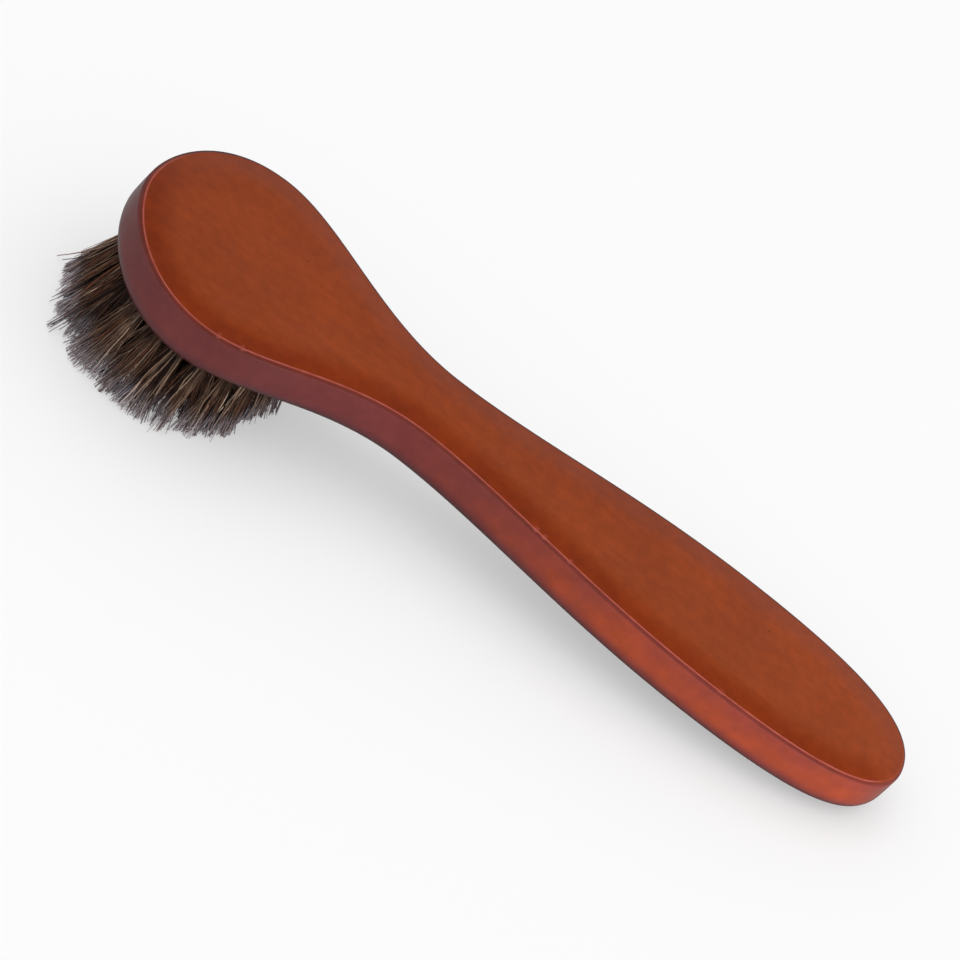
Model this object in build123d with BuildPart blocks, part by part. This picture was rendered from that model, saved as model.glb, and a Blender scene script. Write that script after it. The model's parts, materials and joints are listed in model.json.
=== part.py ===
"""Hand brush with a short round pad of horsehair.

One block of lacquered hardwood is both the head and the handle. Its back is flat, and its underside has a
ring pattern of blind holes that fan outwards. In each hole a folded tuft of horsehair straddles a short
piece of flat wire, the anchor, which stands on the floor of the hole.

The brush stands as it lies on a table: the trimmed bristles and the heel of the handle touch z = 0, so the
block leans a few degrees. The block, its holes and its tufts are drawn in the block's own plane, where x runs
from the tip of the head to the end of the handle, z = 0 is the flat back, and the bristles point to -z.
The origin is under the middle of the whole brush. Millimetres.
"""

import os
from math import acos, atan2, cos, degrees, hypot, pi, radians, sin, tan

from build123d import *

os.makedirs("parts", exist_ok=True)

# Wood block
block_length = 178.0
block_thickness = 11.8
head_width = 48.8
head_widest_at = 22.8  # distances along the block are from the tip of the head
neck_width = 19.2
neck_at = 68.0
grip_width = 32.4
grip_widest_at = 136.8
back_edge_radius = 1.2  # the small round along the flat back
under_edge_radius = 5.5  # the large round along the underside

# How far each end of an outline curve keeps its direction, as a share of the curve's run
head_tip_hold, head_front_hold = 0.40, 0.66
head_rear_hold, neck_front_hold = 0.29, 0.40
neck_rear_hold, grip_front_hold = 0.28, 0.42
grip_rear_hold, end_hold = 0.58, 0.81

# Bristle field
ring_counts = {"centre": 1, "inner": 6, "middle": 13, "outer": 20}
field_at = 23.5
field_rim = 0.5  # flat wood between the outer holes and the large round
hole_diameter = 3.2
hole_depth = 7.0
bristle_height = 16.9  # from the wood to the trimmed face, in the middle of the field
flare_angle = 11.5  # lean of the outer holes and tufts, degrees
tuft_clearance = 0.04  # between a tuft's root and the wall of its hole
tuft_gap = 0.3  # least gap between two tufts at their tips

# Anchors: short pieces of flat wire
anchor_thickness = 0.5
anchor_height = 1.6
anchor_clearance = 0.05  # between an anchor's ends and the wall of its hole

# The lean: the line of the trimmed bristles also touches the round at the heel of the handle
heel_run = block_length - under_edge_radius - field_at
heel_rise = under_edge_radius + bristle_height
lean = acos(under_edge_radius / hypot(heel_rise, heel_run)) - atan2(heel_run, heel_rise)

# Rings of holes, and how wide a tuft may grow before it meets the next one
hole_radius = hole_diameter / 2
root_radius = hole_radius - tuft_clearance
outer_ring = head_width / 2 - under_edge_radius - field_rim - hole_radius
last_ring = len(ring_counts) - 1
ring_step = outer_ring / last_ring
ring_angle_step = radians(flare_angle) / last_ring
field_spread = outer_ring + hole_radius + bristle_height * sin(radians(flare_angle))
longest_tuft = bristle_height + field_spread * tan(lean)
ring_reaches = [
    ring * ring_step + longest_tuft * sin(ring * ring_angle_step) for ring in range(last_ring + 1)
]
pitches = [outer - inner for inner, outer in zip(ring_reaches, ring_reaches[1:])]
for reach, count in zip(ring_reaches[1:], list(ring_counts.values())[1:]):
    pitches.append(2 * reach * sin(pi / count))
tip_radius = (min(pitches) - tuft_gap) / 2
collar = hole_radius * tan(radians(flare_angle))  # straight stretch of a tuft at the mouth of its hole
growth = atan2(tip_radius - root_radius, longest_tuft - collar)

# Place of the block's own plane: heel and bristles on z = 0, and the whole brush centred on x = 0
tip_height = (
    under_edge_radius
    + (block_length - under_edge_radius) * sin(lean)
    + (block_thickness - under_edge_radius) * cos(lean)
)
front_root = field_at - outer_ring - root_radius
front_drop = tip_height - front_root * sin(lean) - block_thickness * cos(lean)
front_lean = radians(flare_angle) + growth + lean
tuft_front_x = front_root * cos(lean) - block_thickness * sin(lean) - front_drop * tan(front_lean)
wood_front_x = (
    under_edge_radius * (cos(lean) - 1) - (block_thickness - under_edge_radius) * sin(lean)
)
front_x = min(tuft_front_x, wood_front_x)
end_x = (block_length - back_edge_radius) * cos(lean) + back_edge_radius * (1 - sin(lean))
block_plane = Plane(
    origin=(-(front_x + end_x) / 2, 0, tip_height),
    x_dir=(cos(lean), 0, -sin(lean)),
    z_dir=(sin(lean), 0, cos(lean)),
)
block_axis = Axis(block_plane.origin, block_plane.z_dir)


def hole_plane(ring, angle):
    """Plane at the mouth of a hole: z points out of the hole, along the tuft."""
    tilt = ring * ring_angle_step
    radius = ring * ring_step
    mouth = Vector(field_at + radius * cos(angle), radius * sin(angle), -block_thickness)
    out = Vector(sin(tilt) * cos(angle), sin(tilt) * sin(angle), -cos(tilt))
    across = Vector(-sin(angle), cos(angle), 0)
    return Plane(
        origin=block_plane.from_local_coords(mouth),
        x_dir=block_plane.from_local_coords(across) - block_plane.origin,
        z_dir=block_plane.from_local_coords(out) - block_plane.origin,
    )


# The first tuft of each ring is the one nearest the tip of the head
tufts = {}
for ring, (ring_name, count) in enumerate(ring_counts.items()):
    for place in range(count):
        tuft_name = f"tuft_{ring_name}_{place + 1:02d}" if count > 1 else f"tuft_{ring_name}"
        tufts[tuft_name] = hole_plane(ring, pi + 2 * pi * place / count)

# Wood block: outline, two edge rounds, then the blind holes
head_half, neck_half, grip_half = head_width / 2, neck_width / 2, grip_width / 2
head_tip_run = head_widest_at
head_rear_run = neck_at - head_widest_at
grip_front_run = grip_widest_at - neck_at
grip_rear_run = block_length - grip_widest_at

with BuildPart(block_plane) as wood_block:
    with BuildSketch(block_plane.offset(-block_thickness)):
        with BuildLine():
            Bezier(
                (0, 0),
                (0, head_tip_hold * head_half),
                (head_widest_at - head_front_hold * head_tip_run, head_half),
                (head_widest_at, head_half),
            )
            Bezier(
                (head_widest_at, head_half),
                (head_widest_at + head_rear_hold * head_rear_run, head_half),
                (neck_at - neck_front_hold * head_rear_run, neck_half),
                (neck_at, neck_half),
            )
            Bezier(
                (neck_at, neck_half),
                (neck_at + neck_rear_hold * grip_front_run, neck_half),
                (grip_widest_at - grip_front_hold * grip_front_run, grip_half),
                (grip_widest_at, grip_half),
            )
            Bezier(
                (grip_widest_at, grip_half),
                (grip_widest_at + grip_rear_hold * grip_rear_run, grip_half),
                (block_length, end_hold * grip_half),
                (block_length, 0),
            )
            mirror(about=Plane.XZ)
        make_face()
    extrude(amount=block_thickness)
    fillet(wood_block.faces().sort_by(block_axis)[-1].edges(), radius=back_edge_radius)
    fillet(wood_block.faces().sort_by(block_axis)[0].edges(), radius=under_edge_radius)
    with BuildSketch(*[mouth.offset(-hole_depth) for mouth in tufts.values()]):
        Circle(hole_radius)
    extrude(amount=hole_depth + hole_radius, mode=Mode.SUBTRACT)
wood_block.part.label = "wood_block"
export_step(wood_block.part, "parts/wood_block.step")

# Anchors: each stands on the floor of its hole, across the hole
anchor_width = hole_diameter - 2 * anchor_clearance
with BuildPart() as tuft_anchors:
    with BuildSketch(*[mouth.offset(-hole_depth) for mouth in tufts.values()]):
        Rectangle(anchor_width, anchor_thickness)
    extrude(amount=anchor_height)
tuft_anchors.part.label = "tuft_anchors"
export_step(tuft_anchors.part, "parts/tuft_anchors.step")

# Tufts: a straight root folded over its anchor, and a flared end trimmed level with the table
overrun = field_spread * tan(lean) + bristle_height * 0.2
flared_end = bristle_height + overrun
flared_radius = root_radius + (flared_end - collar) * tan(growth)
for tuft_name, mouth in tufts.items():
    with BuildPart(mouth) as tuft:
        with BuildSketch(Plane(mouth.origin, x_dir=mouth.x_dir, z_dir=-mouth.y_dir)):
            with BuildLine():
                Polyline(
                    (0, -hole_depth),
                    (root_radius, -hole_depth),
                    (root_radius, collar),
                    (flared_radius, flared_end),
                    (0, flared_end),
                    close=True,
                )
            make_face()
        revolve(axis=Axis(mouth.origin, mouth.z_dir))
        split(bisect_by=Plane.XY, keep=Keep.TOP)
        with BuildSketch(mouth.offset(-hole_depth)):
            Rectangle(hole_diameter, anchor_thickness)
        extrude(amount=anchor_height, mode=Mode.SUBTRACT)
    tuft.part.label = tuft_name
    export_step(tuft.part, f"parts/{tuft_name}.step")

print(f"lean {degrees(lean):.3f} degrees, tuft tip radius {tip_radius:.2f}, {len(tufts)} tufts")
back_point = block_plane.from_local_coords(Vector(field_at, 0, 0))
print("middle of the head on the flat back:", [round(v, 3) for v in back_point])
print("outward normal of the flat back:", [round(v, 6) for v in block_plane.z_dir])
field_point = block_plane.from_local_coords(Vector(field_at, 0, -block_thickness - bristle_height))
print("middle of the trimmed face:", [round(v, 3) for v in field_point])
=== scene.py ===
import json
import math

import bmesh
import bpy
from mathutils import Matrix, Vector
from mathutils.kdtree import KDTree


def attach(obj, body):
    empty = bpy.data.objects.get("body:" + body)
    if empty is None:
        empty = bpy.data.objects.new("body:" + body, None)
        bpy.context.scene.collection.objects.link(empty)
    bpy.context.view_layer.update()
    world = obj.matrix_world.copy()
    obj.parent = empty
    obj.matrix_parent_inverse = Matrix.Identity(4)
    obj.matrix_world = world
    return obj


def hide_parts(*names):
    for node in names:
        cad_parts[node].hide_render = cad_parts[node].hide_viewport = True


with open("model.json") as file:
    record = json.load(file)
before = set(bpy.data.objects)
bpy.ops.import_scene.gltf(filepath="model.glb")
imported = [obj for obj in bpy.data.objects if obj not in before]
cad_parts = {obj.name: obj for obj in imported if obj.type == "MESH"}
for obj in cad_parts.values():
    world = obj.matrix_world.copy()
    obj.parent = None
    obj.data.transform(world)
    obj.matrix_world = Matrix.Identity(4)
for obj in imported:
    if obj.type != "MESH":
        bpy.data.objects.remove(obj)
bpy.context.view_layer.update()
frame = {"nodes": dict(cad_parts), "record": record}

# The block's own axes: blockX runs from the tip of the head to the end of the handle, and blockZ
# points out of the flat back
backMount = next(m for m in frame["record"]["mounts"] if m["name"] == "back_face")
blockZ = Vector(backMount["axis"]).normalized()
blockY = Vector((0, 1, 0))
blockX = blockY.cross(blockZ).normalized()

# What a maker would change on the wood block, in metres. The holds say how far an outline curve
# keeps its direction, as a share of its run.
woodBlock = {
    "length": 0.178,
    "thickness": 0.0118,
    "headWidth": 0.0488,
    "headWidestAt": 0.0228,
    "neckWidth": 0.0192,
    "neckAt": 0.068,
    "gripWidth": 0.0324,
    "gripWidestAt": 0.1368,
    "headTipHold": 0.40,
    "headFrontHold": 0.66,
    "headRearHold": 0.29,
    "neckFrontHold": 0.40,
    "neckRearHold": 0.28,
    "gripFrontHold": 0.42,
    "gripRearHold": 0.58,
    "endHold": 0.81,
    "backRadius": 0.0012,
    "underRadius": 0.0055,
    "crownWidth": 0.0078,     # the back is sanded down a hair over this width along its edge
    "crownDrop": 0.00042,
    "sideBelly": 0.00012,     # and the side is drawn in by this much at its top
    "fieldAt": 0.0235,        # middle of the bristle field, from the tip of the head
    "holeRadius": 0.0016,
    "holeDepth": 0.007,
    "outlineStep": 0.00065,
    "backRim": 0.0008,        # flat ring of the back just inside the sanded width
    "underRim": 0.0006,       # and of the underside just inside its round
    "crownSteps": 8,
    "backSteps": 18,
    "sideSteps": 7,
    "underSteps": 12,
    # small knocks along the front edge of the back: distance from the head's tip, length, depth
    "nicks": [(0.0262, 0.0010, 0.00010), (0.0312, 0.0014, 0.00014), (0.0938, 0.0010, 0.00012),
              (0.0962, 0.0008, 0.00010), (0.1022, 0.0009, 0.00012), (0.1390, 0.0010, 0.00010)],
    "nickAt": 0.75,           # where they lie across the back round, and their reach, in its radii
    "nickReach": 0.45,
}

blockOrigin = Vector(backMount["pos_m"]) - blockX * woodBlock["fieldAt"]
toWorld = Matrix((
    (blockX.x, blockY.x, blockZ.x, blockOrigin.x),
    (blockX.y, blockY.y, blockZ.y, blockOrigin.y),
    (blockX.z, blockY.z, blockZ.z, blockOrigin.z),
    (0, 0, 0, 1),
))

# The bristle field, ring by ring, as drilled
bristleField = {
    "ringCounts": {"centre": 1, "inner": 6, "middle": 13, "outer": 20},
    "outerRing": 0.0168,
    "flareAngle": math.radians(11.5),
}



def linkObject(name, data):
    piece = bpy.data.objects.new(name, data)
    bpy.context.scene.collection.objects.link(piece)
    return piece


# A long lens, looking down on the flat back from beside the head
photoView = {
    "azimuth": math.radians(-11.83),
    "elevation": math.radians(39.0),
    "roll": math.radians(45.55),
    "distance": 1.0,
    "lens": 205.5,
    "sensor": 36,
    "clip": (0.05, 20),
    "aimAt": Vector((0.090, 0, 0)),     # a point on the flat back
    "aimRight": 0.01049,                # how far right of the picture's middle that point stands
    "aimUp": 0.0003,
}


def makeCamera():
    v = photoView
    az, el, roll = v["azimuth"], v["elevation"], v["roll"]
    away = Vector((math.sin(az) * math.cos(el), -math.cos(az) * math.cos(el), math.sin(el)))
    right = Vector((math.cos(az), math.sin(az), 0))
    up = away.cross(right)
    turn = toWorld.to_3x3()
    away = turn @ away
    rollRight = turn @ (right * math.cos(roll) + up * math.sin(roll))
    rollUp = turn @ (up * math.cos(roll) - right * math.sin(roll))
    target = toWorld @ v["aimAt"] - rollRight * v["aimRight"] - rollUp * v["aimUp"]
    spot = target + away * v["distance"]
    data = bpy.data.cameras.new("photoCamera")
    data.lens = v["lens"]
    data.sensor_width = v["sensor"]
    data.clip_start, data.clip_end = v["clip"]
    camera = linkObject("photoCamera", data)
    camera.matrix_world = Matrix((
        (rollRight.x, rollUp.x, away.x, spot.x),
        (rollRight.y, rollUp.y, away.y, spot.y),
        (rollRight.z, rollUp.z, away.z, spot.z),
        (0, 0, 0, 1),
    ))
    bpy.context.scene.camera = camera


makeCamera()
print("camera placed")


def bezier(p0, p1, p2, p3, t):
    s = 1 - t
    return p0 * s ** 3 + p1 * 3 * s * s * t + p2 * 3 * s * t * t + p3 * t ** 3


def halfOutline(samples=400):
    w = woodBlock
    head, neck, grip = w["headWidth"] / 2, w["neckWidth"] / 2, w["gripWidth"] / 2
    headAt, neckAt, gripAt, end = w["headWidestAt"], w["neckAt"], w["gripWidestAt"], w["length"]
    headRun, neckRun, gripRun = neckAt - headAt, gripAt - neckAt, end - gripAt
    stretches = [
        ((0, 0), (0, w["headTipHold"] * head),
         (headAt - w["headFrontHold"] * headAt, head), (headAt, head)),
        ((headAt, head), (headAt + w["headRearHold"] * headRun, head),
         (neckAt - w["neckFrontHold"] * headRun, neck), (neckAt, neck)),
        ((neckAt, neck), (neckAt + w["neckRearHold"] * neckRun, neck),
         (gripAt - w["gripFrontHold"] * neckRun, grip), (gripAt, grip)),
        ((gripAt, grip), (gripAt + w["gripRearHold"] * gripRun, grip),
         (end, w["endHold"] * grip), (end, 0)),
    ]
    points = []
    for stretch in stretches:
        corners = [Vector(p) for p in stretch]
        for i in range(samples):
            points.append(bezier(*corners, i / samples))
    points.append(Vector((end, 0)))
    return points


def evenOutline():
    # evenly spaced points from the tip to the end along +Y, then back along -Y
    dense = halfOutline()
    runs = [0.0]
    for p, q in zip(dense, dense[1:]):
        runs.append(runs[-1] + (q - p).length)
    count = round(runs[-1] / woodBlock["outlineStep"])
    half, k = [], 0
    for i in range(count + 1):
        want = runs[-1] * i / count
        while k < len(runs) - 2 and runs[k + 1] < want:
            k += 1
        f = (want - runs[k]) / (runs[k + 1] - runs[k])
        half.append(dense[k].lerp(dense[k + 1], f))
    half[0], half[-1] = Vector((0, 0)), Vector((woodBlock["length"], 0))
    loop = half + [Vector((p.x, -p.y)) for p in reversed(half[1:-1])]
    count = len(loop)
    inward = []
    for i in range(count):
        along = (loop[(i + 1) % count] - loop[i - 1]).normalized()
        inward.append(Vector((along.y, -along.x)))     # the loop runs clockwise seen from the back
    return loop, inward


def sideProfile():
    # (distance in from the outline, height above the back), from the back round to the underside
    w = woodBlock
    r, big, t = w["backRadius"], w["underRadius"], w["thickness"]
    crown, drop, belly = w["crownWidth"], w["crownDrop"], w["sideBelly"]
    profile = [(crown + w["backRim"], 0.0)]
    for i in range(w["crownSteps"] + 1):
        f = i / w["crownSteps"]
        profile.append((crown - (crown - r) * f, -drop * f ** 2))
    for i in range(1, w["backSteps"] + 1):
        a = math.pi / 2 * i / w["backSteps"]
        profile.append((r - (r - belly) * math.sin(a), -drop - (r - drop) * (1 - math.cos(a))))
    sideTop, sideEnd = -r, -(t - big)
    for i in range(1, w["sideSteps"]):
        f = i / w["sideSteps"]
        profile.append((belly * (1 - f) ** 2, sideTop + (sideEnd - sideTop) * f))
    for i in range(w["underSteps"] + 1):
        a = math.pi / 2 * i / w["underSteps"]
        profile.append((big - big * math.cos(a), sideEnd - big * math.sin(a)))
    profile.append((big + w["underRim"], -t))
    return profile


def holePlaces():
    # (node, mouth in the block's axes, direction out of the hole, direction along the ring)
    places = []
    rings = bristleField["ringCounts"]
    last = len(rings) - 1
    for ring, (name, count) in enumerate(rings.items()):
        radius = bristleField["outerRing"] * ring / last
        tilt = bristleField["flareAngle"] * ring / last
        for i in range(count):
            a = math.pi + 2 * math.pi * i / count
            mouth = Vector((woodBlock["fieldAt"] + radius * math.cos(a), radius * math.sin(a),
                            -woodBlock["thickness"]))
            out = Vector((math.sin(tilt) * math.cos(a), math.sin(tilt) * math.sin(a),
                          -math.cos(tilt)))
            node = f"tuft_{name}_{i + 1:02d}" if count > 1 else f"tuft_{name}"
            places.append((node, mouth, out, Vector((-math.sin(a), math.cos(a), 0))))
    return places


class NodeTree:
    # small helper that adds nodes and joins them
    def __init__(self, tree):
        self.tree = tree

    def join(self, value, socket):
        if isinstance(value, bpy.types.NodeSocket):
            self.tree.links.new(value, socket)
        else:
            socket.default_value = value

    def add(self, kind, links=None, **settings):
        node = self.tree.nodes.new(kind)
        for key, value in settings.items():
            setattr(node, key, value)
        for key, value in (links or {}).items():
            self.join(value, node.inputs[key])
        return node

    def math(self, operation, a, b=0.0):
        return self.add("ShaderNodeMath", {0: a, 1: b}, operation=operation).outputs[0]

    def plus(self, a, b):
        return self.math("ADD", a, b)

    def minus(self, a, b):
        return self.math("SUBTRACT", a, b)

    def times(self, a, b):
        return self.math("MULTIPLY", a, b)

    def over(self, a, b):
        return self.math("DIVIDE", a, b)

    def power(self, a, b):
        return self.math("POWER", a, b)

    def vector(self, operation, a, b):
        node = self.add("ShaderNodeVectorMath", {0: a}, operation=operation)
        self.join(b, node.inputs["Scale" if operation == "SCALE" else 1])
        return node.outputs["Vector"]

    def summed(self, a, b):
        return self.vector("ADD", a, b)

    def scaled(self, vector, size):
        return self.vector("SCALE", vector, size)

    def random(self, low, high, seed, salt, member=None):
        links = {2: low, 3: high, "Seed": self.plus(seed, float(salt))}
        if member:
            links["ID"] = member
        return self.add("FunctionNodeRandomValue", links, data_type="FLOAT").outputs[1]

    def combine(self, x, y, z=0.0):
        return self.add("ShaderNodeCombineXYZ", {0: x, 1: y, 2: z}).outputs[0]

    def separate(self, vector):
        return self.add("ShaderNodeSeparateXYZ", {0: vector}).outputs

    def noise(self, vector, scale, detail=2.0, roughness=0.5):
        links = {"Vector": vector, "Scale": scale, "Detail": detail, "Roughness": roughness}
        return self.add("ShaderNodeTexNoise", links).outputs[0]

    def mapRange(self, value, fromLow, fromHigh, toLow=0.0, toHigh=1.0):
        links = {0: value, 1: fromLow, 2: fromHigh, 3: toLow, 4: toHigh}
        return self.add("ShaderNodeMapRange", links, interpolation_type="SMOOTHSTEP").outputs[0]

    def blend(self, factor, a, b):
        # mixes two colours
        node = self.add("ShaderNodeMix", data_type="RGBA")
        for value, socket in ((factor, node.inputs[0]), (a, node.inputs[6]), (b, node.inputs[7])):
            if isinstance(value, tuple) and len(value) == 3:
                value = (*value, 1)
            self.join(value, socket)
        return node.outputs[2]

    def attribute(self, name):
        return self.add("ShaderNodeAttribute", attribute_name=name).outputs["Fac"]

    def relief(self, height, distance, strength):
        links = {"Height": height, "Distance": distance, "Strength": strength}
        return self.add("ShaderNodeBump", links).outputs[0]


def newGroup(name, inputs, outputs):
    # a shader node group with named float or vector sockets
    tree = bpy.data.node_groups.new(name, "ShaderNodeTree")
    for label, start in inputs.items():
        kind = "NodeSocketVector" if label == "Vector" else "NodeSocketFloat"
        socket = tree.interface.new_socket(label, in_out="INPUT", socket_type=kind)
        if label != "Vector":
            socket.default_value = start
    for label in outputs:
        tree.interface.new_socket(label, in_out="OUTPUT", socket_type="NodeSocketFloat")
    n = NodeTree(tree)
    return n, n.add("NodeGroupInput").outputs, n.add("NodeGroupOutput").inputs


# Effects that several materials share. Lengths in them are metres.
def grainGroup():
    # streaks that run along x, and short dark pores among them
    n, given, result = newGroup("grain", {
        "Vector": None, "Across": 900.0, "Stretch": 0.06, "Figure": 70.0, "Pores": 2100.0,
    }, ("Tone", "Pore Mask", "Height"))
    spot = given["Vector"]
    along = n.combine(given["Stretch"], 1.0, 1.0)
    fine = n.noise(n.vector("MULTIPLY", spot, along), given["Across"], detail=4.0, roughness=0.62)
    wander = n.noise(spot, 45.0)
    slow = n.summed(n.vector("MULTIPLY", spot, (0.16, 1.0, 1.0)),
                    n.scaled(n.combine(0.0, wander, wander), 0.006))
    figure = n.noise(slow, given["Figure"], detail=3.0, roughness=0.55)
    tone = n.plus(n.times(fine, 0.55), n.times(figure, 0.45))
    short = n.vector("MULTIPLY", spot, (0.13, 1.0, 1.0))
    dashes = n.noise(short, given["Pores"], detail=1.0, roughness=0.4)
    pores = n.mapRange(dashes, 0.66, 0.74)
    n.join(n.mapRange(tone, 0.34, 0.66), result["Tone"])
    n.join(pores, result["Pore Mask"])
    n.join(n.minus(fine, n.times(pores, 0.8)), result["Height"])
    return n.tree


def speckGroup():
    # scattered round specks of uneven size
    n, given, result = newGroup("specks", {
        "Vector": None, "Cells": 400.0, "Size": 0.16, "Share": 0.3,
    }, ("Mask",))
    cells = n.add("ShaderNodeTexVoronoi", {"Vector": given["Vector"], "Scale": given["Cells"]})
    chance = n.add("ShaderNodeSeparateColor", {0: cells.outputs["Color"]}).outputs
    kept = n.math("LESS_THAN", chance[0], given["Share"])
    size = n.times(given["Size"], n.plus(0.35, chance[1]))
    dot = n.mapRange(n.over(cells.outputs["Distance"], size), 1.0, 0.6)
    n.join(n.times(dot, kept), result["Mask"])
    return n.tree


def mottleGroup():
    # soft cloudy change between two values
    n, given, result = newGroup("mottle", {
        "Vector": None, "Scale": 200.0, "Low": 0.0, "High": 1.0,
    }, ("Value",))
    cloud = n.noise(given["Vector"], given["Scale"], detail=3.0, roughness=0.6)
    cloud = n.mapRange(cloud, 0.3, 0.7)
    span = n.minus(given["High"], given["Low"])
    n.join(n.plus(given["Low"], n.times(cloud, span)), result["Value"])
    return n.tree


effects = {"grain": grainGroup(), "specks": speckGroup(), "mottle": mottleGroup()}


def newMaterial(name):
    # the material, a helper for its nodes, its shader, and places in the block's directions
    material = bpy.data.materials.new(name)
    material.use_nodes = True
    n = NodeTree(material.node_tree)
    spot = n.add("ShaderNodeTexCoord").outputs["Object"]
    lean = math.atan2(-blockX.z, blockX.x)
    turned = n.add("ShaderNodeMapping", {"Vector": spot, "Rotation": (0, -lean, 0)}).outputs[0]
    return material, n, material.node_tree.nodes["Principled BSDF"], turned


def useEffect(n, effect, links):
    node = n.add("ShaderNodeGroup", node_tree=effects[effect])
    for key, value in links.items():
        n.join(value, node.inputs[key])
    return node.outputs


def clouds(n, spot, scale, low, high):
    links = {"Vector": spot, "Scale": scale, "Low": low, "High": high}
    return useEffect(n, "mottle", links)["Value"]


def specks(n, spot, cells, size, share):
    links = {"Vector": spot, "Cells": cells, "Size": size, "Share": share}
    return useEffect(n, "specks", links)["Mask"]


def setSockets(shader, values):
    for key, value in values.items():
        shader.inputs[key].default_value = value


# Stain, painted shade, painted highlights and lacquer of the block. Clouds are (scale, least,
# greatest), specks (cells, size, share).
woodFinish = {
    "darkStain": (0.236, 0.0345, 0.0022),
    "lightStain": (0.258, 0.0390, 0.0028),
    "tone": [(55.0, 0.93, 1.07), (420.0, 0.93, 1.07)],
    # mark on the block, its painted shade or highlight colour, and the share or the clouds of it,
    # each over the ones before
    "shadesAndHighlights": [
        ("band", (0.180, 0.0195, 0.0004), (160.0, 0.72, 1.0)),    # painted shade, a darker band inside the back's edge, mostly along the front
        ("edgeShade", (0.118, 0.0220, 0.0180), 0.9),              # dark where the edge turns down
        ("rearEdgeShade", (0.052, 0.0120, 0.0140), 0.85),              # painted shade, darkest along the rear edge
        ("sideShade", (0.130, 0.0210, 0.0215), 0.95),                # painted shade and painted reflection of the floor on the sides
        ("gripHighlight", (0.232, 0.0330, 0.0060), (60.0, 0.55, 1.0)),  # painted highlight, a band of light along the grip's side
        # painted shade, darker towards the underside
        ("underShade", (0.062, 0.0120, 0.0150), 0.9),
    ],
    "poreStain": (0.05, 0.006, 0.002),
    "poreShare": 0.11,
    "speckStain": (0.035, 0.006, 0.003),
    "speckShare": 0.5,
    "specks": (300.0, 0.085, 0.14),
    "sheenAndWearColour": (0.43, 0.1050, 0.0880),    # painted highlight along the edge of the back, and pale wear in the nicks
    "sheenAndWearShare": 0.95,
    "sheenAndWearClouds": (700.0, 0.6, 1.0),
    "roughClouds": (150.0, 0.34, 0.46),
    "speckRoughness": 0.2,
    "lacquerClouds": (90.0, 0.80, 1.0),
    "speckLacquer": 0.3,                      # lacquer that is missing on a speck
    "lacquerRoughness": 0.13,
    "waves": 650.0,
    "waveShare": 0.7,
    "orangePeel": 0.000010,
    "bareWood": (0.46, 0.27, 0.13),
    "bareDark": 0.55,
    "bareClouds": (900.0, 0.72, 0.9),
    "bareRelief": 0.00005,
}

# Where those marks lie on the block. Pairs say where a mark begins and where it is full.
woodMarks = {
    "rimSheenAt": 0.22,          # how far the back round has turned there, in radians
    "rimSheenReach": 0.22,
    "rimSheenBehind": 0.12,      # share of the painted highlight line that is left along the rear
    "nickWear": 0.45,
    "edgeBandShadeFrom": 0.0022,        # distance in from the outline, up to the sanded width
    "edgeBandShadeBehind": 0.35,
    "edgeTurn": (0.30, 0.58),      # radians of the back round
    "edgeSooner": (0.22, 0.28),    # and how much sooner along the rear
    "side": (0.55, 1.0),           # depth under the back, in radii of the back round
    "under": (0.53, 0.85),         # depth under the back, in thicknesses
    "gripLitAt": 0.0050,              # depth at which the painted highlight on the grip is brightest
    "gripLitReach": 0.0033,
    "gripLitLeast": 0.68,
    "grip": (-0.02, 0.05),         # distance along the handle from the neck
    "front": (0.0, 0.5),           # y of the direction inwards, plus headShare of its x
    "headShare": 0.6,
    "rear": (0.2, 0.8),            # -y of the direction inwards
}


def ramp(value, low, high):
    # 0 below low, 1 above high, smooth between
    t = min(1.0, max(0.0, (value - low) / (high - low)))
    return t * t * (3 - 2 * t)


def hump(value, middle, reach):
    # 1 in the middle, 0 beyond the reach
    return 1 - ramp(abs(value - middle), 0.0, reach)


def atLeast(least, value):
    return least + (1 - least) * value


def nickThere(p, d):
    # how fully a point of the back round lies in a nick, and how deep it is sunk
    w = woodBlock
    knock, sunk = 0.0, 0.0
    across = (d - w["backRadius"] * w["nickAt"]) / (w["backRadius"] * w["nickReach"])
    for at, length, depth in w["nicks"]:
        reach = 1 - ((p.x - at) * 2 / length) ** 2 - across ** 2
        if p.y < 0 and reach > knock:
            knock, sunk = reach, depth * reach
    return knock, sunk


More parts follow.
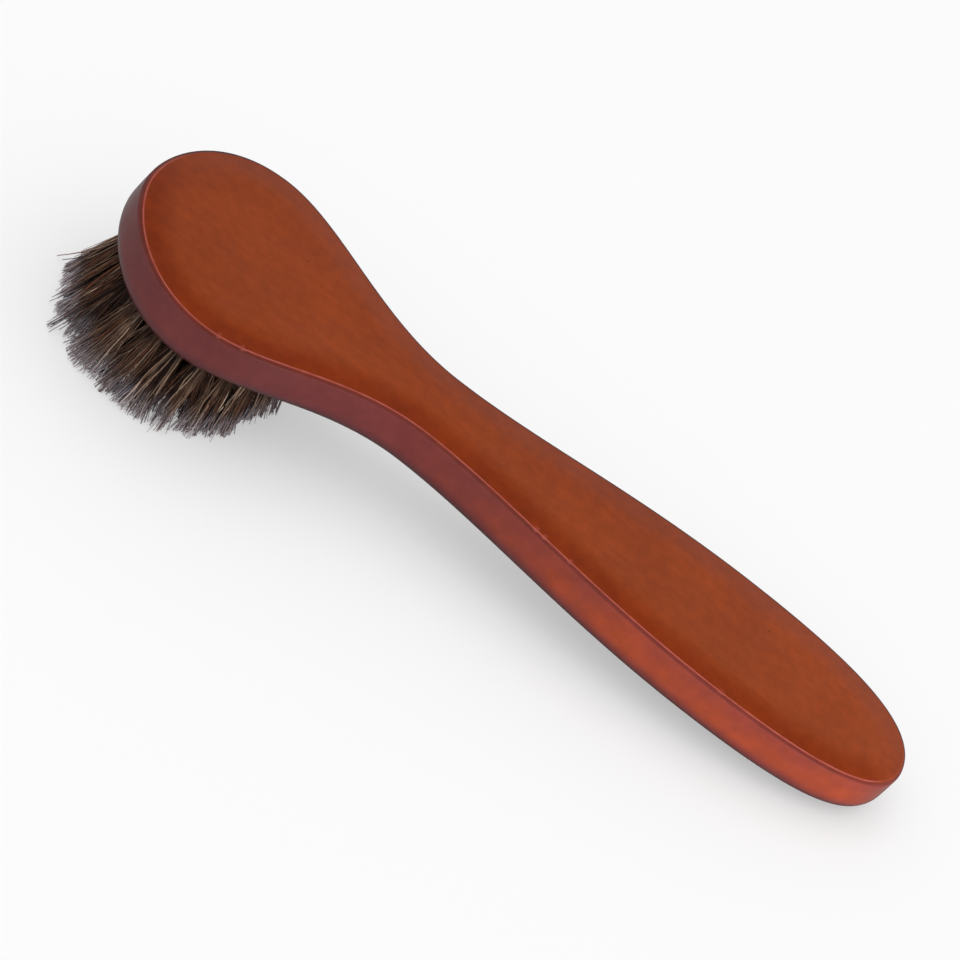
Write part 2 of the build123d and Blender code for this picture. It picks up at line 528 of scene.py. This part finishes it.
def marksThere(p, way, d, z, knock):
    w, m = woodBlock, woodMarks
    r = w["backRadius"]
    turned, rim, band = math.pi / 2, 0.0, 0.0
    if z > -r:
        turned = math.asin(min(1.0, max(0.0, 1 - d / r)))
        # painted highlight: a thin pale line along the back round, mostly along the front
        rim = hump(turned, m["rimSheenAt"], m["rimSheenReach"])
        # painted shade: a darker band inside the back's edge, stronger along the front
        band = 1 - ramp(d, m["edgeBandShadeFrom"], w["crownWidth"])
    front = ramp(way.y + m["headShare"] * way.x, *m["front"])
    rear = ramp(-way.y, *m["rear"])
    # painted shade where the edge turns down, starting sooner and darker along the rear
    (low, high), (lowSooner, highSooner) = m["edgeTurn"], m["edgeSooner"]
    shaded = ramp(turned, low - lowSooner * rear, high - highSooner * rear)
    # the sides below the back round, where painted shade and reflection lie
    side = ramp(-z / r, *m["side"])
    # painted highlight along the middle of the grip's side
    gripLit = atLeast(m["gripLitLeast"], hump(-z, m["gripLitAt"], m["gripLitReach"]))
    gripLow, gripHigh = m["grip"]
    return {
        "rimSheenAndWear": max(rim * atLeast(m["rimSheenBehind"], front), min(m["nickWear"], knock)),
        "band": band * atLeast(m["edgeBandShadeBehind"], front),
        "edgeShade": shaded,
        "rearEdgeShade": shaded * rear,
        "sideShade": side,
        "gripHighlight": gripLit * side * ramp(p.x, w["neckAt"] + gripLow, w["neckAt"] + gripHigh),
        # painted shade towards the underside
        "underShade": ramp(-z / w["thickness"], *m["under"]),
    }


def sweepBlock():
    # the block without its holes, and the marks of each of its points
    loop, inward = evenOutline()
    bm = bmesh.new()
    rings, marked = [], []
    for d, z in sideProfile():
        ring = []
        for p, way in zip(loop, inward):
            knock, sunk = nickThere(p, d) if z > -woodBlock["backRadius"] else (0.0, 0.0)
            ring.append(bm.verts.new((p.x + way.x * d, p.y + way.y * d, z - sunk)))
            marked.append((ring[-1].co.copy(), marksThere(p, way, d, z, knock)))
        rings.append(ring)
    count = len(loop)
    for upper, lower in zip(rings, rings[1:]):
        for i in range(count):
            j = (i + 1) % count
            bm.faces.new((upper[i], upper[j], lower[j], lower[i]))
    bm.faces.new(list(reversed(rings[0])))
    bm.faces.new(rings[-1])
    bmesh.ops.recalc_face_normals(bm, faces=bm.faces)
    mesh = bpy.data.meshes.new("woodBlockPiece")
    bm.to_mesh(mesh)
    bm.free()
    return linkObject("wood_block_finish", mesh), marked


def drillHoles(block):
    # blind holes, cut by one mesh of drills that start a little outside the wood
    radius, depth, above = woodBlock["holeRadius"], woodBlock["holeDepth"], 0.002
    drills = bmesh.new()
    for node, mouth, out, across in holePlaces():
        turn = Matrix((across, out.cross(across), out)).transposed().to_4x4()
        turn.translation = mouth + out * (above - depth) / 2
        bmesh.ops.create_cone(drills, cap_ends=True, segments=28, radius1=radius, radius2=radius,
                              depth=depth + above, matrix=turn)
    drillMesh = bpy.data.meshes.new("drills")
    drills.to_mesh(drillMesh)
    drills.free()
    drillPiece = linkObject("drills", drillMesh)
    cut = block.modifiers.new("holes", "BOOLEAN")
    cut.operation, cut.solver, cut.object = "DIFFERENCE", "EXACT", drillPiece
    depsgraph = bpy.context.evaluated_depsgraph_get()
    holed = bpy.data.meshes.new_from_object(block.evaluated_get(depsgraph))
    block.modifiers.clear()
    block.data = holed
    bpy.data.objects.remove(drillPiece)
    bpy.data.meshes.remove(drillMesh)
    holed.name = "woodBlockPiece"


def storeMarks(mesh, marked):
    # each point takes the marks of the nearest point of the block before it was drilled
    tree = KDTree(len(marked))
    for i, (spot, marks) in enumerate(marked):
        tree.insert(spot, i)
    tree.balance()
    nearest = [marked[tree.find(vertex.co)[1]][1] for vertex in mesh.vertices]
    for name in nearest[0]:
        layer = mesh.attributes.new(name, "FLOAT", "POINT")
        for i, marks in enumerate(nearest):
            layer.data[i].value = marks[name]


def inHole(spot, slack=1e-5):
    for node, mouth, out, across in holePlaces():
        gap = spot - mouth
        deep = -gap.dot(out)
        if (gap + out * deep).length < woodBlock["holeRadius"] + slack \
                and deep < woodBlock["holeDepth"] + slack:
            return True
    return False


def makeWood():
    block, marked = sweepBlock()
    drillHoles(block)
    mesh = block.data
    storeMarks(mesh, marked)
    underside, fieldEnd = -woodBlock["thickness"] + 1e-6, woodBlock["fieldAt"] + 0.02
    for face in mesh.polygons:
        face.use_smooth = True
        near = face.center.z > underside and face.center.x < fieldEnd
        face.material_index = 1 if near and inHole(face.center) else 0
    mesh.transform(toWorld)
    mesh.set_sharp_from_angle(angle=math.radians(35))
    return block


def lacqueredWood():
    f = woodFinish
    material, n, shader, spot = newMaterial("lacqueredWood")
    grain = useEffect(n, "grain", {"Vector": spot})
    stainAndPaintedLight = n.blend(grain["Tone"], f["darkStain"], f["lightStain"])
    # painted shade and painted highlights over the stain, each over the ones before
    for mark, colour, share in f["shadesAndHighlights"]:
        cover = clouds(n, spot, *share) if isinstance(share, tuple) else share
        stainAndPaintedLight = n.blend(n.times(n.attribute(mark), cover), stainAndPaintedLight, colour)
    wide, fine = [clouds(n, spot, *tone) for tone in f["tone"]]
    stainAndPaintedLight = n.scaled(stainAndPaintedLight, n.times(wide, fine))
    stainAndPaintedLight = n.blend(n.times(grain["Pore Mask"], f["poreShare"]), stainAndPaintedLight, f["poreStain"])
    dots = specks(n, spot, *f["specks"])
    stainAndPaintedLight = n.blend(n.times(dots, f["speckShare"]), stainAndPaintedLight, f["speckStain"])
    # painted highlight along the edge of the back, with pale wear in the nicks
    rimSheenAndWear = n.times(n.attribute("rimSheenAndWear"), clouds(n, spot, *f["sheenAndWearClouds"]))
    stainAndPaintedLight = n.blend(n.times(rimSheenAndWear, f["sheenAndWearShare"]), stainAndPaintedLight, f["sheenAndWearColour"])
    n.join(stainAndPaintedLight, shader.inputs["Base Color"])

    rough = clouds(n, spot, *f["roughClouds"])
    n.join(n.plus(rough, n.times(dots, f["speckRoughness"])), shader.inputs["Roughness"])
    coat = clouds(n, spot, *f["lacquerClouds"])
    n.join(n.minus(coat, n.times(dots, f["speckLacquer"])), shader.inputs["Coat Weight"])
    waves = n.times(n.noise(spot, f["waves"]), f["waveShare"])
    height = n.plus(waves, n.times(grain["Height"], 1 - f["waveShare"]))
    n.join(n.relief(height, f["orangePeel"], 1.0), shader.inputs["Normal"])
    setSockets(shader, {"Coat Roughness": f["lacquerRoughness"], "Coat IOR": 1.5,
                        "Specular IOR Level": 0.12})
    return material


def bareWood():
    f = woodFinish
    material, n, shader, spot = newMaterial("bareWood")
    grain = useEffect(n, "grain", {"Vector": spot, "Across": 1300.0, "Pores": 3200.0})
    dark = tuple(v * f["bareDark"] for v in f["bareWood"])
    n.join(n.blend(grain["Tone"], dark, f["bareWood"]), shader.inputs["Base Color"])
    n.join(clouds(n, spot, *f["bareClouds"]), shader.inputs["Roughness"])
    n.join(n.relief(grain["Height"], f["bareRelief"], 0.8), shader.inputs["Normal"])
    return material


woodPiece = makeWood()
woodPiece.data.materials.clear()
woodPiece.data.materials.append(lacqueredWood())
woodPiece.data.materials.append(bareWood())
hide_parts("wood_block")
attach(woodPiece, "root")
print("wood block made,", len(woodPiece.data.polygons), "faces")

# Horsehair: one Geometry Nodes tree grows every tuft
hairTuft = {
    "hairs": 250,
    "hairsInLock": 15,         # hairs cling together in locks
    "rootRadius": 0.00122,
    "tipRadius": 0.0038,
    "rootDepth": 0.0062,
    "hairRadius": 0.000128,
    "curvePoints": 10,
    "sides": 3,
    "fanPower": 1.0,           # below 1 the tuft opens early, above 1 near its tips
    "lockRadius": 0.00050,
    "radialShare": 0.68,       # a tuft opens less towards the rim of the pad than along it
    "lockStray": 0.0012,
    "stray": 0.0004,
    "bend": 0.0022,
    "bulge": 0.0008,
    "wobble": 0.00010,
    "looseShare": 0.06,        # hairs that lie loose over the others, thicker and paler
    "looseStray": 0.0024,
    "shortest": 0.0012,        # how far short of the trimmed face a hair may end
}

# How the hairs of a tuft differ, and how each of them bends
hairSpread = {
    "farthestStray": 5.0,      # a few hairs stray this many times the usual
    "strayPower": 4.0,
    "ownBend": 0.35,           # a hair's own bend and bulge beside those of its lock
    "ownBulge": 0.5,
    "shortPower": 2.2,
    "lockTint": 0.55,
    "ownTint": 0.40,
    "looseTint": (0.60, 0.97),
    "thinnest": 0.72,
    "looseThicker": 0.35,
    "thicker": 0.75,
    "tableGap": 0.00014,
    "curlPower": 2.4,
    "rippleTurns": 13.0,
    "tipThinner": 0.4,
}


def socketName(key):
    # "hairsInLock" is the socket "Hairs In Lock"
    return "".join(" " + c if c.isupper() else c for c in key).title()


def buildHairTree():
    h = hairSpread
    tree = bpy.data.node_groups.new("horsehairTuft", "GeometryNodeTree")
    sockets = {"Geometry": "Geometry", "Seed": "Int", "Mouth": "Vector", "Out": "Vector",
               "Across": "Vector", "Beside": "Vector", "Material": "Material"}
    for key, value in hairTuft.items():
        sockets[socketName(key)] = "Int" if isinstance(value, int) else "Float"
    for name, kind in sockets.items():
        tree.interface.new_socket(name, in_out="INPUT", socket_type="NodeSocket" + kind)
    tree.interface.new_socket("Geometry", in_out="OUTPUT", socket_type="NodeSocketGeometry")
    n = NodeTree(tree)
    source = n.add("NodeGroupInput").outputs
    index = n.add("GeometryNodeInputIndex").outputs[0]
    lock = n.math("FLOOR", n.over(n.plus(index, 0.5), source["Hairs In Lock"]))

    # the salt of each draw keeps it apart from the others
    def share(low, high, salt, member=None):
        return n.random(low, high, source["Seed"], salt, member)

    def flatSpot(reach, salt, member=None):
        # a flat vector of this length in a random direction
        turn = share(0.0, 2 * math.pi, salt, member)
        return n.combine(n.times(n.math("COSINE", turn), reach),
                         n.times(n.math("SINE", turn), reach))

    def disc(salt, member=None):
        # a flat spot anywhere in a circle of radius 1
        return flatSpot(n.math("SQRT", share(0.0, 1.0, salt, member)), salt + 1, member)

    def swing(size, salt, member=None):
        return flatSpot(n.times(share(-1.0, 1.0, salt, member), size), salt + 1, member)

    # one point for each hair, carrying its random values and those of its lock
    points = n.add("GeometryNodePoints", {"Count": source["Hairs"]}).outputs[0]
    farthest = n.times(source["Stray"], h["farthestStray"])
    strayReach = n.times(n.power(share(0.0, 1.0, 4), h["strayPower"]), farthest)
    lockStray = n.scaled(disc(31, lock), source["Lock Stray"])
    loose = n.math("LESS_THAN", share(0.0, 1.0, 18), source["Loose Share"])
    looseReach = n.times(share(0.2, 1.0, 19), source["Loose Stray"])
    strayReach = n.plus(strayReach, n.times(loose, looseReach))
    ownBend = n.scaled(swing(source["Bend"], 6), h["ownBend"])
    ownBulge = n.scaled(swing(source["Bulge"], 10), h["ownBulge"])
    tint = n.plus(n.times(share(0.0, 1.0, 61, lock), h["lockTint"]),
                  n.times(share(0.0, 1.0, 14), h["ownTint"]))
    leastThick = n.plus(h["thinnest"], n.times(loose, h["looseThicker"]))
    values = {
        "root": disc(21, lock),
        "jitter": n.scaled(disc(1), source["Lock Radius"]),
        "stray": n.summed(lockStray, flatSpot(strayReach, 3)),
        "bend": n.summed(swing(source["Bend"], 41, lock), ownBend),
        "bulge": n.summed(swing(source["Bulge"], 51, lock), ownBulge),
        "short": n.power(share(0.0, 1.0, 12), h["shortPower"]),
        "tint": n.math("MAXIMUM", n.times(loose, share(*h["looseTint"], 22)), tint),
        "shade": share(0.0, 1.0, 15),
        "thick": n.plus(leastThick, n.times(n.power(share(0.0, 1.0, 16), 2.0), h["thicker"])),
        "phase": share(0.0, 2 * math.pi, 17),
    }
    flat = ("root", "jitter", "stray", "bend", "bulge")

    def store(geometry, key, value):
        kind = "FLOAT_VECTOR" if key in flat else "FLOAT"
        links = {"Geometry": geometry, "Name": key, "Value": value}
        return n.add("GeometryNodeStoreNamedAttribute", links, domain="POINT",
                     data_type=kind).outputs[0]

    def read(key):
        kind = "FLOAT_VECTOR" if key in flat else "FLOAT"
        node = n.add("GeometryNodeInputNamedAttribute", {"Name": key}, data_type=kind)
        return node.outputs["Attribute"]

    for key, value in values.items():
        points = store(points, key, value)
    links = {"Start": (0, 0, 0), "End": (0, 0, 1)}
    line = n.add("GeometryNodeCurvePrimitiveLine", links).outputs[0]
    links = {"Curve": line, "Count": source["Curve Points"]}
    line = n.add("GeometryNodeResampleCurve", links).outputs[0]
    hairs = n.add("GeometryNodeInstanceOnPoints", {"Points": points, "Instance": line}).outputs[0]
    hairs = n.add("GeometryNodeRealizeInstances", {"Geometry": hairs}).outputs[0]
    hairs = store(hairs, "along", n.add("GeometryNodeSplineParameter").outputs["Factor"])
    along = read("along")

    def place(spot):
        # a flat spot in the tuft's own axes, as a vector in the frame
        parts = n.separate(spot)
        return n.summed(n.scaled(source["Across"], parts[0]),
                        n.scaled(source["Beside"], n.times(parts[1], source["Radial Share"])))

    def height(vector):
        return n.separate(vector)[2]

    rootOffset = place(n.summed(n.scaled(read("root"), source["Root Radius"]), read("jitter")))
    tipOffset = place(n.summed(n.scaled(read("root"), source["Tip Radius"]), read("stray")))
    bendOffset = place(read("bend"))

    # the length along the tuft that ends the hair at its own height over the table
    goal = n.plus(n.times(read("short"), source["Shortest"]), h["tableGap"])
    tipHeight = n.plus(height(source["Mouth"]), height(n.summed(tipOffset, bendOffset)))
    reach = n.over(n.minus(goal, tipHeight), height(source["Out"]))

    # the first step runs down the hole, the rest is the free hair
    step = n.over(1.0, n.minus(source["Curve Points"], 1.0))
    free = n.math("MAXIMUM", n.over(n.minus(along, step), n.minus(1.0, step)), 0.0)
    sunk = n.math("MINIMUM", n.minus(n.over(along, step), 1.0), 0.0)
    depth = n.plus(n.times(sunk, source["Root Depth"]), n.times(free, reach))
    fan = n.scaled(n.vector("SUBTRACT", tipOffset, rootOffset), n.power(free, source["Fan Power"]))
    curl = n.scaled(bendOffset, n.power(free, h["curlPower"]))
    arch = n.math("SINE", n.times(free, math.pi))
    belly = n.scaled(place(n.summed(read("bulge"), read("jitter"))), arch)
    ripple = n.math("SINE", n.plus(n.times(free, h["rippleTurns"]), read("phase")))
    ripple = n.times(n.times(ripple, source["Wobble"]), arch)
    sideways = n.summed(n.summed(fan, curl), n.summed(belly, n.scaled(source["Across"], ripple)))
    spot = n.summed(n.summed(source["Mouth"], n.scaled(source["Out"], depth)),
                    n.summed(rootOffset, sideways))
    hairs = n.add("GeometryNodeSetPosition", {"Geometry": hairs, "Position": spot}).outputs[0]

    taper = n.minus(1.0, n.times(n.power(free, 2.0), h["tipThinner"]))
    width = n.times(n.times(source["Hair Radius"], read("thick")), taper)
    hairs = n.add("GeometryNodeSetCurveRadius", {"Curve": hairs, "Radius": width}).outputs[0]
    ring = n.add("GeometryNodeCurvePrimitiveCircle", {"Resolution": source["Sides"], "Radius": 1.0},
                 mode="RADIUS").outputs[0]
    links = {"Curve": hairs, "Profile Curve": ring, "Fill Caps": True}
    tube = n.add("GeometryNodeCurveToMesh", links)
    if "Scale" in tube.inputs:      # newer versions of Blender take the width here
        tree.links.new(width, tube.inputs["Scale"])
    solid = n.add("GeometryNodeRealizeInstances", {"Geometry": tube.outputs[0]}).outputs[0]
    links = {"Geometry": solid, "Material": source["Material"]}
    solid = n.add("GeometryNodeSetMaterial", links).outputs[0]
    tree.links.new(solid, n.add("NodeGroupOutput").inputs[0])
    return tree


def growPiece(name, tree, values):
    mesh = bpy.data.meshes.new(name)
    piece = linkObject(name, mesh)
    grow = piece.modifiers.new("grow", "NODES")
    grow.node_group = tree
    sockets = {s.name: s.identifier for s in tree.interface.items_tree if s.in_out == "INPUT"}
    for key, value in values.items():
        grow[sockets[key]] = value
    depsgraph = bpy.context.evaluated_depsgraph_get()
    made = bpy.data.meshes.new_from_object(
        piece.evaluated_get(depsgraph), preserve_all_data_layers=True, depsgraph=depsgraph)
    piece.modifiers.clear()
    piece.data = made
    made.name = name
    bpy.data.meshes.remove(mesh)
    return piece


# Colours from root to tip: each hair takes one shade of the mix by its tint
hairFinish = {
    "mix": [
        (0.00, (0.015, 0.0070, 0.0050)), (0.22, (0.032, 0.0155, 0.0105)),
        (0.38, (0.072, 0.0350, 0.0240)), (0.45, (0.160, 0.0520, 0.0240)),
        (0.52, (0.105, 0.0560, 0.0390)), (0.64, (0.185, 0.1060, 0.0620)),
        (0.74, (0.235, 0.1450, 0.1020)), (0.86, (0.430, 0.2950, 0.2050)),
        (1.00, (0.620, 0.4800, 0.3700)),
    ],
    "shades": (0.7, 1.3),
    "clouds": (380.0, 0.8, 1.2),
    # painted shade: hairs darken towards their roots near the wood
    "rootShade": 0.34,
    "rootReach": (0.1, 0.45),
    "tip": (0.60, 0.54, 0.59),
    "tipFrom": 0.6,
    "tipPower": 1.3,
    "dust": (0.45, 0.42, 0.40),
    "dustSpecks": (900.0, 0.2, 0.12),
    "dustShare": 0.35,
    "dustRoughness": 0.2,
    "rough": (0.42, 0.62),
}


def horsehair():
    f = hairFinish
    material, n, shader, spot = newMaterial("horsehair")
    mix = n.add("ShaderNodeValToRGB", {0: n.attribute("tint")})
    stops = mix.color_ramp.elements
    while len(stops) < len(f["mix"]):
        stops.new(0.5)
    for stop, (at, colour) in zip(stops, f["mix"]):
        stop.position = at
        stop.color = (*colour, 1)
    along, shade = n.attribute("along"), n.attribute("shade")
    bright = n.times(n.mapRange(shade, 0.0, 1.0, *f["shades"]), clouds(n, spot, *f["clouds"]))
    # painted shade, darker towards the roots near the wood
    rootward = n.mapRange(along, *f["rootReach"], f["rootShade"], 1.0)
    colour = n.scaled(n.scaled(mix.outputs[0], bright), rootward)
    bleached = n.times(n.power(n.mapRange(along, f["tipFrom"], 1.0), f["tipPower"]),
                       n.mapRange(shade, 0.1, 0.9, 0.2, 1.0))
    colour = n.blend(bleached, colour, f["tip"])
    dust = specks(n, spot, *f["dustSpecks"])
    colour = n.blend(n.times(dust, f["dustShare"]), colour, f["dust"])
    n.join(colour, shader.inputs["Base Color"])
    rough = n.mapRange(shade, 0.0, 1.0, *f["rough"])
    n.join(n.plus(rough, n.times(dust, f["dustRoughness"])), shader.inputs["Roughness"])
    setSockets(shader, {"Specular IOR Level": 0.2})
    return material


hairMaterial = horsehair()
hairTree = buildHairTree()
hairSockets = {socketName(key): value for key, value in hairTuft.items()}
turnOnly = toWorld.to_3x3()
firstSeed, seedStep = 100, 20
faces = 0
for number, (node, mouth, out, alongRing) in enumerate(holePlaces()):
    outward, across = turnOnly @ out, turnOnly @ alongRing
    piece = growPiece("hair_" + node, hairTree, {
        **hairSockets, "Seed": firstSeed + seedStep * number, "Mouth": toWorld @ mouth,
        "Out": outward, "Across": across, "Beside": outward.cross(across), "Material": hairMaterial,
    })
    faces += len(piece.data.polygons)
    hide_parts(node)
    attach(piece, "root")
print("tufts grown,", faces, "faces")

# Anchors keep their CAD shape
wireFinish = {
    "bright": (0.62, 0.61, 0.59),
    "dull": (0.36, 0.34, 0.31),
    "tarnishClouds": (800.0, 0.0, 0.7),
    "rough": (0.22, 0.42),
    "specks": (2600.0, 0.2, 0.2),
    "speckRoughness": 0.3,
    "relief": 0.000008,
}


def drawnWire():
    f = wireFinish
    material, n, shader, spot = newMaterial("anchorWire")
    links = {"Vector": spot, "Across": 5200.0, "Stretch": 0.05, "Pores": 9000.0}
    drawn = useEffect(n, "grain", links)
    tarnish = clouds(n, spot, *f["tarnishClouds"])
    n.join(n.blend(tarnish, f["bright"], f["dull"]), shader.inputs["Base Color"])
    rough = n.mapRange(drawn["Tone"], 0.0, 1.0, *f["rough"])
    dots = n.times(specks(n, spot, *f["specks"]), f["speckRoughness"])
    n.join(n.plus(rough, dots), shader.inputs["Roughness"])
    n.join(n.relief(drawn["Height"], f["relief"], 0.6), shader.inputs["Normal"])
    setSockets(shader, {"Metallic": 1.0})
    return material


anchors = frame["nodes"]["tuft_anchors"]
anchors.data.materials.clear()
anchors.data.materials.append(drawnWire())
print("anchors finished")

# Floor, lights and the room. Radiances are for a floor that renders nearly white.
studio = {
    "floorColour": (0.89, 0.89, 0.892),
    "floorInGloss": 0.30,        # how bright the lacquer sees the floor
    "floorFarInGloss": (0.06, 0.06, 0.065),     # and the floor behind the brush
    "floorFarFrom": (0.03, 0.12),
    "floorGlow": 0.42,           # share of the floor's own light, which keeps its shadows pale
    "roomFill": 0.80,            # light from all round on matt surfaces
    "roomSeen": 0.93,
    "backGloss": 0.28,           # pale wall behind the brush, as the lacquer sees it
    "backGlossTop": (0.46, 0.73),
    "backGlossOver": 0.02,
    "backGlossFoot": (0.02, 0.22),
    "backGlossUnder": 0.1,
    "frontGloss": 0.9,           # low window in front
    "frontGlossTop": (0.12, 0.30),
    "frontGlossOver": 0.05,
    "topPower": 5.6,
    "gripPower": 0.17,
}


def makeFloor():
    s = studio
    bm = bmesh.new()
    bmesh.ops.create_grid(bm, x_segments=1, y_segments=1, size=4.0)
    mesh = bpy.data.meshes.new("floor")
    bm.to_mesh(mesh)
    bm.free()
    floor = linkObject("floor", mesh)
    material, n, shader, spot = newMaterial("paleFloor")
    path = n.add("ShaderNodeLightPath").outputs
    pale, glow = s["floorColour"], s["floorGlow"]
    near = tuple(v * s["floorInGloss"] for v in pale)
    behind = n.mapRange(n.separate(spot)[1], *s["floorFarFrom"])
    mirrored = n.blend(behind, near, s["floorFarInGloss"])
    seen = tuple(v * (1 - glow) for v in pale)
    colour = n.blend(path["Is Camera Ray"], n.blend(path["Is Glossy Ray"], pale, mirrored), seen)
    n.join(colour, shader.inputs["Base Color"])
    n.join(n.times(path["Is Camera Ray"], glow), shader.inputs["Emission Strength"])
    setSockets(shader, {"Roughness": 0.9, "Specular IOR Level": 0.1,
                        "Emission Color": (1, 1, 1, 1)})
    mesh.materials.append(material)


def makeRoom():
    s = studio
    world = bpy.data.worlds.new("room")
    bpy.context.scene.world = world
    world.use_nodes = True
    n = NodeTree(world.node_tree)
    path = n.add("ShaderNodeLightPath").outputs
    way = n.separate(n.add("ShaderNodeTexCoord").outputs["Generated"])
    up, front = way[2], n.math("LESS_THAN", way[1], 0.0)
    wall = n.times(n.mapRange(up, *s["backGlossTop"], s["backGloss"], s["backGlossOver"]),
                   n.mapRange(up, *s["backGlossFoot"], s["backGlossUnder"], 1.0))
    window = n.mapRange(up, *s["frontGlossTop"], s["frontGloss"], s["frontGlossOver"])
    gloss = n.plus(n.times(front, window), n.times(n.minus(1.0, front), wall))
    fill = n.plus(n.times(path["Is Glossy Ray"], n.minus(gloss, s["roomFill"])), s["roomFill"])
    seen = n.plus(n.times(path["Is Camera Ray"], n.minus(s["roomSeen"], fill)), fill)
    background = world.node_tree.nodes["Background"]
    n.join(seen, background.inputs["Strength"])
    background.inputs["Color"].default_value = (1, 1, 1, 1)


def softbox(name, spot, aim, width, height, power, spread=180):
    # an area lamp that is not seen itself, nor in the lacquer
    data = bpy.data.lights.new(name, "AREA")
    data.shape = "RECTANGLE"
    data.size, data.size_y = width, height
    data.energy = power
    data.spread = math.radians(spread)
    lamp = linkObject(name, data)
    lamp.location = spot
    lamp.rotation_euler = (Vector(aim) - Vector(spot)).to_track_quat("-Z", "Y").to_euler()
    lamp.visible_camera = False
    lamp.visible_glossy = False
    return lamp


makeFloor()
makeRoom()
softbox("top", spot=(-0.05, -0.1, 1.1), aim=(0, 0, 0), width=1.6, height=1.6,
        power=studio["topPower"])
grip = softbox("grip", spot=(0.20, -0.20, 0.035), aim=(0.085, 0, 0.006), width=0.12, height=0.06,
               power=studio["gripPower"], spread=80)
# the low lamp is for the wood alone, so the floor stays even
lit = bpy.data.collections.new("litByGrip")
lit.objects.link(woodPiece)
grip.light_linking.receiver_collection = lit
bpy.context.scene.view_settings.view_transform = "Standard"
print("studio lit")
